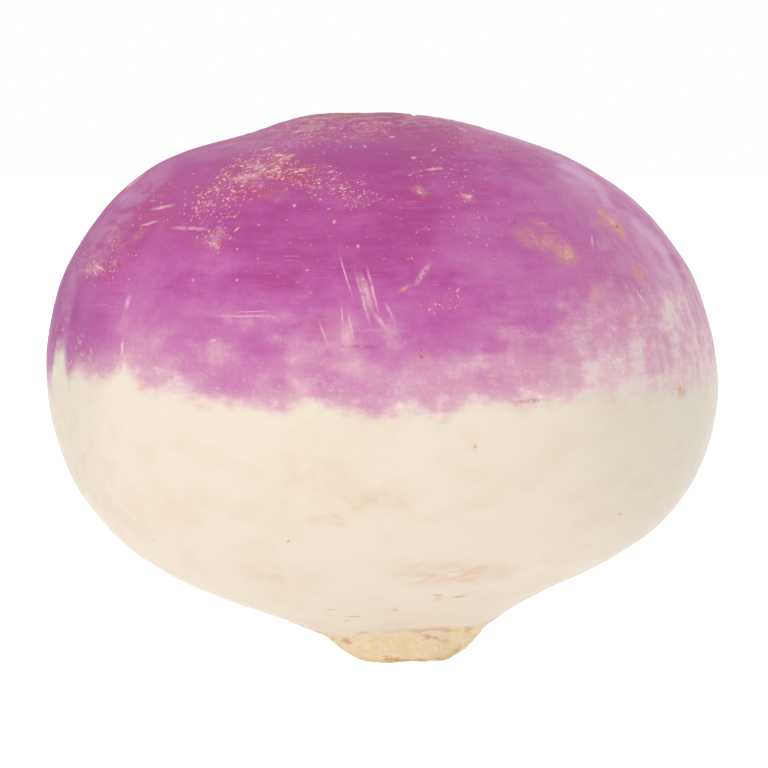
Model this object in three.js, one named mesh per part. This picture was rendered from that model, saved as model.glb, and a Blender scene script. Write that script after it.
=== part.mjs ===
// A purple-top turnip, topped and tailed: one swollen root in one closed piece.
// It stands on the flat where its tap root was cut. Millimetres, +Z up, with the origin
// on the ground under the middle of the bulb, and -Y as the front.
import * as THREE from "three";

// Driving dimensions.
const BULB_WIDTH = 90; // side to side across the belly
const BULB_DEPTH = 86; // front to back across the belly
const BULB_HEIGHT = 73.2; // cut of the tap root to the rim of the crown

const AROUND = 72; // faces in one ring
const RINGS_PER_STATION = 2;

// The two flanks, from the middle of the cut root to the middle of the crown. Each station is
// [height, left flank, right flank]: shares of the bulb's height and of half its width.
const STATIONS = [
  [0.0, 0.06, 0.06], // middle of the cut
  [0.0, -0.068, 0.188], // edge of the cut
  [0.014, -0.118, 0.23],
  [0.034, -0.157, 0.266],
  [0.047, -0.183, 0.288], // top of the neck
  [0.062, -0.248, 0.305],
  [0.08, -0.312, 0.35],
  [0.108, -0.448, 0.42],
  [0.144, -0.592, 0.53],
  [0.19, -0.728, 0.682],
  [0.25, -0.832, 0.816],
  [0.33, -0.92, 0.92],
  [0.42, -0.976, 0.979],
  [0.515, -0.998, 0.998], // belly
  [0.605, -0.99, 0.975],
  [0.695, -0.954, 0.926],
  [0.785, -0.88, 0.832],
  [0.857, -0.785, 0.72], // shoulder
  [0.912, -0.662, 0.57],
  [0.944, -0.52, 0.452],
  [0.965, -0.4, 0.348],
  [0.981, -0.332, 0.262],
  [0.993, -0.272, 0.165],
  [1.0, -0.185, 0.075], // rim of the crown
  [0.998, -0.155, 0.045],
  [0.995, -0.12, 0.01],
  [0.996, -0.055, -0.055], // middle of the crown
];

// The root is fuller to the right, which brings its weight over the cut.
const FULLER_RIGHT = 0.11;
// The neck is as deep as it is wide; the bulb takes its own depth by this height.
const ROUND_NECK_TOP = 0.3;

// Soft lobes round the bulb: [waves in one turn, share of the radius, phase in degrees].
const LOBES = [
  [3, 0.004, 100],
  [4, 0.007, 15],
  [5, 0.005, 200],
  [7, 0.0025, 110],
];

// The crown leans back by this angle, from where the shoulder ends to the rim.
const CROWN_LEAN_DEG = 3;
const CROWN_FOOT = 0.93;

// Dimples and swellings: azimuth (0 right, -90 front), height share, spread and lift in mm.
const DIMPLES = [
  { azimuth: -33, height: 0.81, spread: 6, lift: -1.1 },
  { azimuth: -48, height: 0.88, spread: 5.5, lift: 0.7 },
  { azimuth: -14, height: 0.75, spread: 6, lift: 0.4 },
  { azimuth: -128, height: 0.62, spread: 13, lift: 0.5 },
  { azimuth: -62, height: 0.17, spread: 8, lift: -0.6 },
  { azimuth: -140, height: 0.15, spread: 7, lift: 0.5 },
  { azimuth: 60, height: 0.7, spread: 12, lift: -1.2 },
  { azimuth: 118, height: 0.45, spread: 15, lift: 0.9 },
  { azimuth: 100, height: 0.86, spread: 8, lift: -0.8 },
  { azimuth: 36, height: 0.42, spread: 14, lift: 1.3 },
  { azimuth: 78, height: 0.2, spread: 9, lift: -0.9 },
];

// The dimples fade out below this height, so that the cut stays flat.
const DIMPLES_START_ABOVE = 8;

// Flats left by the knife round the cut root: a point on each, and its outward direction.
// The strokes run out between these two heights.
const KNIFE_CUTS = [
  { at: [2.7, -5.4, 0], out: [0.15, -0.75, -0.65] },
  { at: [7.2, -3.4, 0], out: [0.55, -0.5, -0.67] },
  { at: [2.7, 5.5, 0], out: [0.1, 0.72, -0.7] },
  { at: [-2, 3.6, 0], out: [-0.6, 0.55, -0.58] },
];
const KNIFE_RUNS_OUT = [2.4, 6.5];

const skin = new THREE.MeshStandardMaterial({
  color: new THREE.Color(0.74, 0.5, 0.62),
  roughness: 0.5,
  metalness: 0,
});

// The flanks as one smooth curve: x and y hold the left and right reach, z the height.
function flankRings() {
  const stations = STATIONS.map(
    ([height, left, right]) =>
      new THREE.Vector3(
        (left * BULB_WIDTH) / 2,
        (right * BULB_WIDTH) / 2,
        height * BULB_HEIGHT,
      ),
  );
  const curve = new THREE.CatmullRomCurve3(stations, false, "centripetal");
  return curve
    .getPoints((STATIONS.length - 1) * RINGS_PER_STATION)
    .map(({ x: left, y: right, z }) => ({
      middle: (left + right) / 2,
      reach: (right - left) / 2,
      z: Math.max(0, z), // the cut is flat
    }));
}

// How far the lobes push the skin out at an angle. They die away at both flanks.
function lobeScale(angle, fade) {
  const waves = LOBES.reduce(
    (sum, [count, share, phase]) =>
      sum + share * Math.cos(count * angle + THREE.MathUtils.degToRad(phase)),
    0,
  );
  return 1 + waves * Math.sin(angle) ** 2 * fade;
}

function skinPoint({ middle, reach, z }, angle) {
  const share = z / BULB_HEIGHT;
  const bulbShare = THREE.MathUtils.smoothstep(share, 0, ROUND_NECK_TOP);
  const depth = THREE.MathUtils.lerp(1, BULB_DEPTH / BULB_WIDTH, bulbShare);
  const out = reach * lobeScale(angle, bulbShare);
  const fuller = 1 + FULLER_RIGHT * bulbShare * Math.cos(angle);
  const point = new THREE.Vector3(
    middle + out * Math.cos(angle),
    out * depth * fuller * Math.sin(angle),
    z,
  );
  const lean = Math.tan(THREE.MathUtils.degToRad(CROWN_LEAN_DEG));
  point.z -= point.y * lean * THREE.MathUtils.smoothstep(share, CROWN_FOOT, 1);
  return point;
}

// Moves a point in or out by the dimples near it.
function dimple(point, centres) {
  const outward = new THREE.Vector3(point.x, point.y, 0).normalize();
  outward.z = (point.z / BULB_HEIGHT - 0.5) * 1.4;
  outward.normalize();
  let lift = 0;
  DIMPLES.forEach(({ spread, lift: height }, i) => {
    const apart = point.distanceToSquared(centres[i]);
    lift += height * Math.exp(-apart / (2 * spread * spread));
  });
  lift *= THREE.MathUtils.smoothstep(point.z, 0, DIMPLES_START_ABOVE);
  return point.addScaledVector(outward, lift);
}

// The ring nearest a height gives the spot on the skin at an azimuth.
function spotOnSkin(rings, azimuth, heightShare) {
  const z = heightShare * BULB_HEIGHT;
  const ring = rings.reduce((best, next) =>
    Math.abs(next.z - z) < Math.abs(best.z - z) ? next : best,
  );
  return skinPoint(ring, THREE.MathUtils.degToRad(azimuth));
}

// Presses what stands proud of a knife's flat back onto it.
function trim(point) {
  const bite = 1 - THREE.MathUtils.smoothstep(point.z, ...KNIFE_RUNS_OUT);
  for (const { at, out } of KNIFE_CUTS) {
    const normal = new THREE.Vector3(...out).normalize();
    const proud = point.clone().sub(new THREE.Vector3(...at)).dot(normal);
    if (proud > 0) point.addScaledVector(normal, -proud * bite);
  }
  return point;
}

// A lathe turns the rings, and each of its points is then moved to the skin.
function rootGeometry() {
  const rings = flankRings();
  const profile = rings.map(({ reach, z }) => new THREE.Vector2(reach, z));
  const geometry = new THREE.LatheGeometry(profile, AROUND);
  const position = geometry.getAttribute("position");
  const centres = DIMPLES.map(({ azimuth, height }) =>
    spotOnSkin(rings, azimuth, height),
  );
  for (let i = 0; i <= AROUND; i++) {
    const angle = ((i % AROUND) / AROUND) * 2 * Math.PI;
    rings.forEach((ring, j) => {
      const point = trim(dimple(skinPoint(ring, angle), centres));
      position.setXYZ(i * rings.length + j, point.x, point.y, point.z);
    });
  }
  geometry.computeBoundingBox();
  const middle = geometry.boundingBox.getCenter(new THREE.Vector3());
  geometry.translate(-middle.x, -middle.y, -geometry.boundingBox.min.z);
  geometry.computeVertexNormals();
  return geometry;
}

const turnip = new THREE.Group();
const root = new THREE.Mesh(rootGeometry(), skin);
root.name = "turnip_root";
turnip.add(root);

export default turnip;
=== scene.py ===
"""A purple-top turnip, topped and tailed, on a pale studio table.

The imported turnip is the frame. Its root is copied, refined and dressed here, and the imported
node stays underneath for collision.
"""

import math
import random

import bpy
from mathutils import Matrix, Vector, noise
from mathutils.geometry import intersect_point_line


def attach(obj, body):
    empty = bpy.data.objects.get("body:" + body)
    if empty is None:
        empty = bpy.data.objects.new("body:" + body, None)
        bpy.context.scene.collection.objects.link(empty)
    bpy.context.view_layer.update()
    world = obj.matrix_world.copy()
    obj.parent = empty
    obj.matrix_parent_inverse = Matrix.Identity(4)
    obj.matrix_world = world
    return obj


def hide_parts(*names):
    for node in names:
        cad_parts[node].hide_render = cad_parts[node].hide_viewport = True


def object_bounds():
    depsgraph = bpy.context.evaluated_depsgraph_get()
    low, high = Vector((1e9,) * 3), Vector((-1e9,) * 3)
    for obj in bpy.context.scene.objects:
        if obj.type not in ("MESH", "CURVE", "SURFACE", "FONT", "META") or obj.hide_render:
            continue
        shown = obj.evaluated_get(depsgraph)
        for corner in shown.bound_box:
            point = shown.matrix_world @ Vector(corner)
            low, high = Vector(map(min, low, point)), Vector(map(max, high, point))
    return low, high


bl_info = {
    "name": "Purple-top turnip",
    "version": (1, 0, 0),
    "blender": (4, 5, 0),
    "location": "3D View > Sidebar > Turnip",
    "description": "Models the skin, crown and cut of a turnip and sets up its studio",
    "category": "Object",
}

MM = 0.001

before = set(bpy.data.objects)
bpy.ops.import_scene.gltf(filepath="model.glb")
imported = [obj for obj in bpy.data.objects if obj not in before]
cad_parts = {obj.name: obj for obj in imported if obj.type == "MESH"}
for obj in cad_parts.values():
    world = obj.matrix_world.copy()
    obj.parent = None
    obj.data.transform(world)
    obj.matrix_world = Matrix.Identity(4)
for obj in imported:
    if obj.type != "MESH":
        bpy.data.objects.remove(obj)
CAD_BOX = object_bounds()
CUT_BAND = 0.05  # mm up from the ground, which takes in the flat of the cut
CROWN_BAND = 1.2  # mm down from the top, which takes in the crown's middle


def middle_of(node, low, high):
    """The middle of a node's vertices that lie between two heights, in millimetres."""
    places = [v.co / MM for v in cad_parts[node].data.vertices]
    chosen = [place for place in places if low <= place.z <= high]
    return sum(chosen, Vector()) / len(chosen)


BULB_TOP = CAD_BOX[1].z / MM
CUT_MIDDLE = middle_of("turnip_root", 0.0, CUT_BAND)
CROWN_MIDDLE = middle_of("turnip_root", BULB_TOP - CROWN_BAND, BULB_TOP)


def tint(red, green, blue):
    """A colour given in screen values from 0 to 255, as the linear values of a shader."""
    shares = (red / 255, green / 255, blue / 255)
    return tuple(s / 12.92 if s < 0.04045 else ((s + 0.055) / 1.055) ** 2.4 for s in shares)


def colour(name, description, red, green, blue):
    kind = {"subtype": "COLOR", "size": 3, "min": 0.0, "max": 1.0}
    kind["default"] = tint(red, green, blue)
    return bpy.props.FloatVectorProperty(name=name, description=description, **kind)


def number(name, description, default, **kind):
    return bpy.props.FloatProperty(name=name, description=description, default=default, **kind)


def length(name, description, millimetres):
    return number(name, description, millimetres * MM, unit="LENGTH", precision=5)


# ---- what a user would change


class TURNIP_PG_shape(bpy.types.PropertyGroup):
    refine: bpy.props.IntProperty(
        name="Refine",
        description="How many times the packed root's faces are divided",
        default=2,
        min=0,
        max=2,
    )
    unevenness: length("Unevenness", "Height of the slow swells of the skin", 0.9)
    tool_marks: length("Cut roughness", "Depth of the torn grain round the cut root", 0.5)
    leaf_scars: bpy.props.IntProperty(
        name="Leaf scars",
        description="How many leaf stalks were cut off the crown",
        default=21,
        min=1,
        max=40,
    )
    scar_depth: length("Scar depth", "Depth of one leaf scar", 0.36)
    wrinkles: length("Wrinkles", "Height of the rings of dry skin round the crown", 0.08)
    folds: length("Folds", "Height of the fine folds on the shoulder", 0.35)


class TURNIP_PG_colours(bpy.types.PropertyGroup):
    cream: colour("Cream", "Skin that grew under the soil", 201, 190, 175)
    peach: colour("Peach", "Warm clouds in the cream", 196, 179, 161)
    # Painted shade: the cream greyed on both flanks, where they turn from the light.
    grey_cream: colour("Grey cream", "Greyer cream on the flanks", 163, 171, 161)
    # Soil is also laid as painted shade, by the large marks on the flanks in its table.
    soil: colour("Soil", "Soil stains on the cream", 190, 151, 117)
    petal: colour("Petal", "Pinkish cream where the purple gives out", 197, 176, 176)
    blush: colour("Blush", "Palest pink, along the line", 191, 156, 169)
    pink: colour("Pink", "Pink above the blush", 182, 132, 155)
    mauve: colour("Mauve", "Skin a little above the line", 170, 101, 146)
    rose: colour("Rose", "Skin half way up", 162, 80, 138)
    magenta: colour("Magenta", "Deepest skin, up to the crown", 150, 60, 121)
    # Painted shade: a darker violet laid on the left flank, where it turns from the light.
    dusk: colour("Dusk", "Darker violet of the left flank", 116, 50, 106)
    # Painted sheen: a lilac highlight laid over the purple on the shoulders and along the folds.
    bloom: colour("Bloom", "Waxy lilac film on the shoulders", 192, 159, 186)
    ruddy: colour("Ruddy", "Reddish ground of the speckled skin", 161, 64, 101)
    speck: colour("Speck", "Pores of the purple skin", 208, 172, 168)
    scrape: colour("Scrape", "Scraped and rubbed skin", 194, 148, 161)
    chafed: colour("Chafed", "Skin rubbed pale among the pores", 201, 159, 163)
    tan: colour("Tan", "Corky patches", 187, 137, 123)
    brown: colour("Brown", "Small brown spots", 128, 79, 46)
    cut: colour("Cut", "Dried flesh round the cut root", 204, 186, 148)
    cut_pale: colour("Pale cut", "Fresher flesh of the cut root", 211, 196, 170)
    cut_grain: colour("Cut grain", "Dark grain of the cut root", 179, 134, 79)
    crown: colour("Crown", "Dry skin of the crown", 150, 71, 103)
    corky_crown: colour("Corky crown", "Dry skin among the leaf scars", 165, 124, 112)
    stalk: colour("Stalk", "Dried cut ends of the leaf stalks", 194, 161, 152)
    stalk_rim: colour("Stalk rim", "Corky skin between the leaf scars", 145, 92, 97)
    fibre: colour("Fibre", "Dark threads in the cut leaf stalks", 135, 88, 83)


class TURNIP_PG_stage(bpy.types.PropertyGroup):
    distance: length("Camera distance", "From the camera to the turnip", 750)
    aim_height: length("Aim height", "Height that the camera looks at", 37.0)
    elevation: number("Elevation", "How far the view looks down", math.radians(3), subtype="ANGLE")
    view_width: length("View width", "What the picture spans at the turnip", 103)
    room_light: number("Room light", "Strength of the even white light of the room", 1.0)
    key_power: number("Key light", "Power of the large lamp at the left", 12.5, unit="POWER")
    table_glow: number("Table glow", "Light that the white table itself gives", 0.95)


# ---- modelling helpers

SAME_CORNER = 0.01 * MM  # loose corners nearer than this are one
# The most that two triangles that make one face are bent, and that it is out of square.
PAIR_BEND, PAIR_SKEW = math.radians(60), math.radians(80)
STRAY_SEED = 7  # of noise_vector, which is otherwise seeded by the clock
LEAST_WEIGHT = 0.001


def select_only(piece):
    bpy.ops.object.select_all(action="DESELECT")
    piece.select_set(True)
    bpy.context.view_layer.objects.active = piece


def copy_of_node(node, name):
    """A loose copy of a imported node, with its corners merged and its faces paired."""
    select_only(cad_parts[node])
    bpy.ops.object.duplicate()
    piece = bpy.context.view_layer.objects.active
    piece.name = name
    piece.data.name = name
    piece.parent = None
    for label in [key for key in piece.keys() if key.startswith("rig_")]:
        del piece[label]
    bpy.ops.object.mode_set(mode="EDIT")
    bpy.ops.mesh.select_all(action="SELECT")
    bpy.ops.mesh.remove_doubles(threshold=SAME_CORNER)
    bpy.ops.mesh.tris_convert_to_quads(face_threshold=PAIR_BEND, shape_threshold=PAIR_SKEW)
    bpy.ops.object.mode_set(mode="OBJECT")
    return piece


def apply_modifier(piece, kind, **settings):
    modifier = piece.modifiers.new(kind.lower(), kind)
    for name, value in settings.items():
        setattr(modifier, name, value)
    select_only(piece)
    bpy.ops.object.modifier_apply(modifier=modifier.name)


def displace(piece, group, strength, texture=None, direction="NORMAL"):
    """Lifts the weighted skin by a strength in metres, or roughens it by a texture."""
    settings = {"texture": texture, "mid_level": 0.5} if texture else {"mid_level": 0.0}
    settings.update(vertex_group=group, strength=strength, direction=direction)
    apply_modifier(piece, "DISPLACE", **settings)


def weigh(piece, name, weight_at):
    """A vertex group whose weights follow from the place on the piece, in millimetres."""
    group = piece.vertex_groups.new(name=name)
    for vertex in piece.data.vertices:
        weight = weight_at(vertex.co / MM)
        if weight > LEAST_WEIGHT:
            group.add([vertex.index], min(weight, 1.0), "REPLACE")
    return group.name


def keep_weights(piece, name, weight_at):
    """The same weights as a named attribute, which the skin's material reads."""
    places = [vertex.co / MM for vertex in piece.data.vertices]
    attribute = piece.data.attributes.new(name, "FLOAT", "POINT")
    attribute.data.foreach_set("value", [weight_at(place) for place in places])


def smooth_step(value, low, high):
    share = min(max((value - low) / (high - low), 0.0), 1.0)
    return share * share * (3 - 2 * share)


def band(value, start, end):
    """1 between two spans, over which it rises and falls."""
    return smooth_step(value, *start) * (1 - smooth_step(value, *end))


def stray(place, lump, far):
    """How far noise in lumps of a width moves a place, in mm."""
    return noise.noise_vector(place / lump) * far


def clouds(name, size, depth=2, hard=False):
    texture = bpy.data.textures.new(name, "CLOUDS")
    texture.noise_scale = size * MM
    texture.noise_depth = depth
    texture.noise_type = "HARD_NOISE" if hard else "SOFT_NOISE"
    return texture


# ---- the crown and the cut

CROWN_BOTTOM = CROWN_MIDDLE.z - 4.0  # mm over the ground
FAR = 1000.0  # mm, given for a place that isn't on the crown
SCAR_SEED = 12
SCAR_TURN = math.radians(137.5)  # each leaf grows this far round from the one before
SCAR_SPREAD = 2.05  # mm, how fast the scars spread out from the bud
FIRST_SCAR = 3  # places in the spiral that the bud takes
SCAR_BOW = 0.12  # how round the outer side of a scar is
# In shares of a scar's size: the edge of its floor, and the top and the width of its lip.
SCAR_FLOOR, LIP_TOP, LIP_WIDTH = 0.62, 1.12, 0.42
LIP_HEIGHT = 0.25  # share of a scar's depth
BUD_HEIGHT = 0.5  # mm
SETTLED = 0.3  # mm that the crown's skin has sunk
SETTLED_ABOVE = 60.0  # mm over the ground
WRINKLE_GAP = 1.5  # mm from one ring of dry skin to the next

# Spans over which a part starts or ends: in mm out from the crown's middle,
EDGE_START, EDGE_END = (4.0, 8.0), (15.0, 20.0)
WRINKLES_START, WRINKLES_END = (8.0, 11.0), (14.0, 21.0)
# and in mm up from the ground, for the rough flesh of the cut and for the bulb's skin.
CUT_START, CUT_END = (0.05, 0.9), (3.0, 5.4)
SKIN_START = (3.0, 9.0)

# Fine folds on the right shoulder of the front, from end to end: x and z, in mm.
FOLDS = (
    ((23.2, 66.6), (24.9, 65.8), (26.4, 64.8), (27.8, 63.9), (28.4, 63.2), (29.2, 61.4)),
    ((32.5, 59.2), (34.2, 57.6), (35.6, 56.3), (36.7, 54.9), (37.7, 52.8), (38.5, 50.5)),
)
FOLDS_FRONT, FOLDS_LEFT = -4.0, 18.0  # mm, y and x that all the folds keep beyond
FOLD_REACH = 0.8  # mm to each side
FOLD_SHADE = Vector((-1.0, 0, -0.9))  # mm, from the shaded side of a fold to its top


def leaf_scars(count):
    """The scars left by the leaves, from the bud outwards: middle and half sizes in mm."""
    rng = random.Random(SCAR_SEED)
    scars = []
    for i in range(FIRST_SCAR, count + FIRST_SCAR):
        out = SCAR_SPREAD * math.sqrt(i) + rng.uniform(-0.5, 0.5)
        turn = i * SCAR_TURN + rng.uniform(-0.16, 0.16)
        middle = CROWN_MIDDLE + Vector((math.cos(turn), math.sin(turn), 0)) * out
        size = rng.uniform(0.75, 1.15)
        half_thick = (0.6 + 0.05 * out) * size
        half_wide = (0.9 + 0.22 * out) * size
        scars.append((middle, turn, half_thick, half_wide))
    return scars


def scar_reach(place, scar):
    """How far a place is from a scar's middle: 1 is its edge. The outer side bows out."""
    middle, turn, half_thick, half_wide = scar
    across = place - middle
    outward = across.x * math.cos(turn) + across.y * math.sin(turn)
    sideways = -across.x * math.sin(turn) + across.y * math.cos(turn)
    outward += SCAR_BOW * sideways * sideways
    return math.hypot(outward / half_thick, sideways / half_wide)


def out_on_crown(place, bottom=CROWN_BOTTOM):
    """How far out from the crown's middle a place over the bottom lies, in mm."""
    across = math.hypot(place.x - CROWN_MIDDLE.x, place.y - CROWN_MIDDLE.y)
    return across if place.z > bottom else FAR


def scar_weights(count):
    """Two formulas: how deep a place lies in a scar, and how much it is on a scar's lip."""
    scars = leaf_scars(count)

    def nearest(place):
        if out_on_crown(place) == FAR:
            return FAR
        ragged = place + stray(place, 1.8, 0.45)
        return min(scar_reach(ragged, scar) for scar in scars)

    def pit(place):
        return 1 - smooth_step(nearest(place), SCAR_FLOOR, 1.0)

    def lip(place):
        return max(0.0, 1 - abs(nearest(place) - LIP_TOP) / LIP_WIDTH)

    return pit, lip


def fading_out(start, end, bottom=CROWN_BOTTOM):
    """A formula: 1 in the crown's middle, falling to 0 from start to end, in mm out from it."""
    return lambda place: 1 - smooth_step(out_on_crown(place, bottom), start, end)


bud = fading_out(0.2, 2.0)
heart = fading_out(2.0, 11.0)  # the woody middle, out among the leaf scars
crown = fading_out(11.0, 21.0)  # as far as the leaves grew
crown_top = fading_out(14.0, 26.0, SETTLED_ABOVE)  # where the skin has settled


def crown_edge(place):
    """1 along the edge of the flat top of the crown."""
    return band(out_on_crown(place), EDGE_START, EDGE_END)


def wrinkle(place):
    """1 on top of each ring of dry skin round the leaf scars."""
    out = out_on_crown(place)
    wander = noise.noise(place / 5.0) * 1.6 + noise.noise(place / 1.6) * 0.4
    height = 0.5 + 0.5 * math.cos(2 * math.pi * (out + wander) / WRINKLE_GAP)
    return band(out, WRINKLES_START, WRINKLES_END) * height


def fold(place):
    """1 along the folds of the shoulder, fading at their ends; it also places a painted highlight.
    """
    if place.y > FOLDS_FRONT or place.x < FOLDS_LEFT:
        return 0.0
    spot = Vector((place.x, place.z))
    found = 0.0
    for path in FOLDS:
        for start, end in zip(path, path[1:]):
            near, share = intersect_point_line(spot, start, end)
            if not 0 <= share <= 1:
                near = Vector(start if share < 0 else end)
            found = max(found, 1 - smooth_step((spot - near.to_2d()).length, 0.0, FOLD_REACH))
    return found


def near_cut(place):
    """1 on the cut root, falling to 0 at its flat face and where the bulb's own skin starts."""
    return band(place.z, CUT_START, CUT_END)


# ---- painting the skin

# The height where the purple ends, in mm, by the turn in degrees: 0 is the front, and the
# turn grows to the right.
LINE = (
    (-165, 36), (-140, 38.5), (-120, 35), (-104, 39), (-88, 37), (-79, 37.6),
    (-76, 41.6), (-72, 41.9), (-69.5, 37.8), (-66.5, 39.6), (-62, 38.8), (-56, 38.8),
    (-52, 40.4), (-45.5, 37.8), (-40, 37.5), (-32, 36.6), (-22.5, 36.1), (-18, 35.2),
    (-15, 36.6), (-5, 35.8), (-1.5, 35), (3, 35.7), (9, 35.2), (14.5, 36.5), (19, 36.5),
    (26, 37), (39, 37.4), (50, 37.9), (67, 38.4), (85, 39.5), (105, 37), (125, 38.5),
    (150, 35.5), (175, 37.5),
)
# How much paler the purple is on the shaded side, by the turn in degrees.
# Below 0 it deepens the purple instead: near -75, painted shade on the left flank.
PALENESS_AND_SHADE = (
    (-180, 0.1), (-110, 0), (-75, -0.2), (-50, 0), (5, 0), (20, 0.08), (35, 0.24),
    (47, 0.32), (62, 0.45), (85, 0.5), (115, 0.4), (150, 0.2),
)
CLIMB = 20.0  # mm over which the purple deepens, up from the line
AT_LINE = 0.17  # share of its full depth that the purple has on the line

# The marks painted on the front, in a table for each layer: x, z, half its width and half
# its height, in mm, how far it is turned clockwise, in degrees, and how strong it is.
# Soft clouds, which deepen the purple or fade it.
# Three of them, marked below, deepen it as painted shade.
CLOUDS = (
    (-17.3, 47.5, 6.5, 1.1, 0, -0.3),
    (-11.3, 43.4, 3.2, 2, 10, -0.25),
    (-21.2, 43, 2.2, 1.6, 0, -0.2),
    (-21.4, 39.8, 2.6, 1.2, 0, 0.15),
    (-10.9, 39.1, 1.8, 1.8, 30, -0.2),
    (-13, 38.6, 3.4, 1.5, 0, 0.18),
    (-15.5, 43.4, 3, 2.2, 0, 0.1),
    (-2.8, 41.6, 3.6, 1.6, 0, -0.18),
    (-4.3, 46, 5, 3.2, 0, -0.16),
    (-28, 39.9, 4.5, 1.8, 5, -0.15),
    (-34, 47, 0.8, 3, 6, -0.12),
    (8.4, 41.6, 4, 2, 0, -0.14),
    (12.6, 44.4, 3.4, 1.8, 0, 0.15),
    (1, 45.4, 3, 1.8, 0, -0.2),
    (28.9, 42.8, 6, 2.4, 0, -0.17),
    (16.6, 45.8, 4.5, 1.2, 0, -0.15),
    (12.8, 38.8, 3.4, 1.4, 0, 0.12),
    (4.6, 39.5, 3.2, 2.4, 0, -0.12),
    (37.1, 46.5, 2, 6, 0, -0.1),
    (-14, 43.6, 4.6, 1.2, 6, 0.15),
    (-19.4, 38.2, 3.4, 1.4, 8, 0.22),
    (-9.4, 38.3, 2.4, 1.2, 0, 0.15),
    (-38.1, 45.1, 6, 3, 0, 0.25),
    (10.5, 54.4, 6, 2.6, 0, -0.2),
    (11, 58.6, 7, 2, 0, -0.12),
    (-5.6, 62.8, 4, 1.4, 0, -0.12),
    (-22, 54.4, 5, 1.6, 0, -0.12),
    (8, 47, 5, 2.2, 0, 0.15),
    (20.5, 47.1, 5, 1.6, 0, 0.12),
    (-28.8, 45, 5, 1.6, 0, -0.1),
    (19.5, 38.4, 6, 1.2, 0, -0.1),
    (29, 39.8, 5, 2, 0, -0.15),
    (-17, 52, 12, 1.4, 0, 0.12),
    (-12, 59, 5, 0.9, 0, 0.08),
    (-8.5, 59.2, 7, 2, 0, -0.1),
    (24.8, 49.3, 5, 2.2, 0, -0.16),
    (26.6, 46.6, 5, 2.2, 0, -0.2),
    (36.6, 47.6, 4, 2.6, 0, -0.14),
    (-33, 59.5, 4, 4, -30, 0.12),
    (19, 67, 7, 3, 15, 0.22),
    (-1, 68, 12, 1.8, 0, 0.15),
    (6.5, 70.6, 9, 1.8, 6, 0.3),
    # Painted shade along the shaded side of a fold on the right shoulder.
    (32.2, 61.4, 1.2, 3.6, -48, 0.35),
    (31.7, 48.8, 1.4, 1.6, 0, -0.1),
    (32.5, 45.7, 1.2, 1.6, 0, -0.1),
    (37.6, 48.6, 1.2, 3, 0, -0.1),
    # Painted shade along the shaded side of a fold on the right shoulder.
    (38.1, 53.9, 0.6, 1.4, -45, 0.35),
    # Painted shade along the edge of the left flank.
    (-43.6, 45, 1.4, 9, 0, 0.35),
)
# Skin where the pores crowd together.
SPECKLED = (
    (-20, 63.8, 6.4, 2.6, -30, 1.5),
    (-15.4, 66.4, 4.6, 1.9, 12, 1.5),
    (-10.4, 65.2, 5.4, 2.4, 24, 1.4),
    (-4.2, 63.6, 4.2, 1.8, 24, 1),
    (-21.6, 57.4, 2.6, 2.6, 4, 1),
    (-35.8, 54.7, 4, 3.2, 26, 0.5),
    (-38.2, 52.8, 3, 2.4, 25, 0.7),
    (-30, 62, 5, 3, -30, 0.4),
    (-7.8, 70.6, 10, 2.4, -6, 0.8),
    (8.5, 65.1, 6, 2.6, 20, 0.55),
    (14, 69.5, 9, 2.6, 12, 0.4),
    (9.7, 58.7, 8, 4.5, 0, 0.2),
    (7.2, 49.6, 2.8, 1.3, -12, 1.1),
    (-5, 58, 14, 7, 0, 0.08),
    (33, 50, 8, 8, 0, 0.2),
)
# Reddish ground.
RUDDY = (
    (-12.6, 66.1, 4.6, 1.9, 14, 1),
    (-16.8, 64.9, 8, 2.6, -10, 1.3),
    (-30, 59, 6, 2.5, -8, 0.5),
    (-37, 53.5, 4, 3, 0, 0.5),
    (4, 62.8, 4, 1.6, 0, 0.5),
    (10.4, 63.1, 4, 1.1, 0, 0.6),
    (-7.9, 46.1, 1.8, 2.6, -40, 0.5),
    (10, 69.5, 16, 2, 8, 0.5),
    (7.2, 49.9, 2.6, 1, -12, 0.7),
)
# Skin rubbed pale.
CHAFED = (
    (-17.3, 65.1, 2, 1, -15, 1.2),
    (-20.4, 64, 1.8, 0.5, -35, 0.6),
    (-13.8, 66.4, 1.4, 0.5, -10, 0.5),
    (-8.6, 66.4, 1.2, 0.4, 0, 0.5),
    (-9.6, 63.9, 2.2, 0.4, 6, 0.7),
    (-21.2, 57.5, 0.8, 1.6, 32, 1),
    (-22.2, 56.4, 1.2, 0.8, 0, 1),
    (-37.9, 52.8, 0.7, 0.9, 0, 1),
    (-35, 62.4, 1.4, 0.8, -60, 0.4),
    (10.9, 62.8, 1, 0.5, -8, 1),
    (-2.8, 72.5, 1.6, 0.5, 0, 0.5),
    (3.4, 72.6, 1.4, 0.4, 0, 0.4),
    (-12, 71.3, 5, 0.6, -8, 0.5),
    (10, 71.9, 2.6, 0.5, 12, 0.35),
    (-6.4, 45.2, 2.6, 1.6, 0, 0.35),
    (-3.9, 41.7, 1, 0.9, 0, 0.5),
    (-10.6, 39.1, 1, 0.8, 0, 0.6),
    (-21.8, 41.7, 1.1, 1.1, 0, 0.5),
)
# Painted sheen: lilac haze on the left shoulder, a bright painted highlight on the right one's
# folds.
PAINTED_SHEEN = (
    (-36.2, 57.6, 2.2, 7, 30, 0.48),
    (-41.6, 51, 1.3, 5, 16, 0.35),
    (-31.6, 64.5, 2, 5, 58, 0.5),
    (-28, 60.5, 9, 4.5, -30, 0.06),
    (-20, 69, 6, 1.2, -15, 0.4),
    (14, 57, 9, 4, 0, 0.12),
    (24.4, 65, 0.9, 2.8, -60, 0.42),
    (26.4, 63.8, 1.1, 2.2, -55, 0.36),
    (38.8, 55.4, 0.7, 3, -30, 1),
    (35.4, 53, 1.3, 4, -20, 0.5),
    (34.2, 57, 0.9, 2, -45, 0.45),
)
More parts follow.
